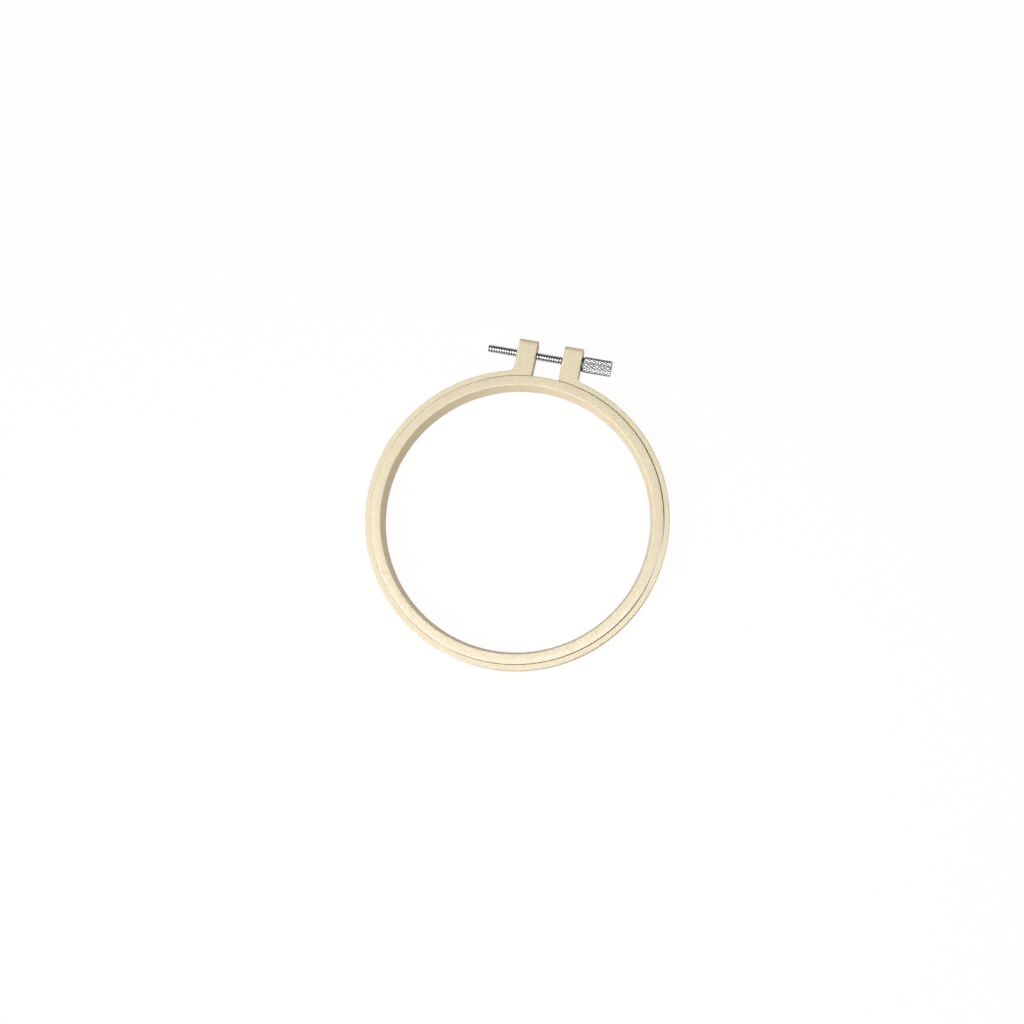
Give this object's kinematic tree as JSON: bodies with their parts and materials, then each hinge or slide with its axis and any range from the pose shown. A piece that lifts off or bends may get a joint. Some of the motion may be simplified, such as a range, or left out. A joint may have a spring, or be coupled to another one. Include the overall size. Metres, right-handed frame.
{
  "type": "embroidery hoop",
  "caption": "Screw embroidery hoop: split outer ring with upright lugs, plain inner ring and a long knurled screw that clamps cloth between the rings.",
  "frame": {"origin": "centre of the box round the hoop, on the surface that its back lies on", "axes": "+Z out of the hoop's front face, +Y from the rings' centre towards the lugs, +X along the screw towards its knurled head"},
  "size_m": [0.152, 0.1682, 0.0091],
  "materials": {
    "hoop_plastic": "satin moulded plastic, cream, faint mottled grain",
    "plated_steel": "bright nickel plate over rolled thread and knurl",
    "insert_brass": "turned brass"
  },
  "bodies": {
    "outer_frame": {"outer_ring": "hoop_plastic", "threaded_insert": "insert_brass"},
    "inner_hoop": {"inner_ring": "hoop_plastic"},
    "washer_body": {"washer": "plated_steel"},
    "screw": {"screw_shank": "plated_steel", "knurled_head": "plated_steel"}
  },
  "joints": [
    {"name": "inner_ring_lift", "type": "slide", "parent": "outer_frame", "child": "inner_hoop", "axis": [0, 0, 1], "range_m": [0, 0.03]},
    {"name": "screw_travel", "type": "slide", "parent": "outer_frame", "child": "washer_body", "axis": [1, 0, 0], "range_m": [0, 0.0195]},
    {"name": "screw_turn", "type": "hinge", "parent": "washer_body", "child": "screw", "pos_m": [0, 0.0766, 0.00425], "axis": [1, 0, 0], "range_deg": [0, 5400]}
  ],
  "couplings": [
    {"joint": "screw_turn", "follows": "screw_travel", "rad_per_m": 4833.2}
  ]
}
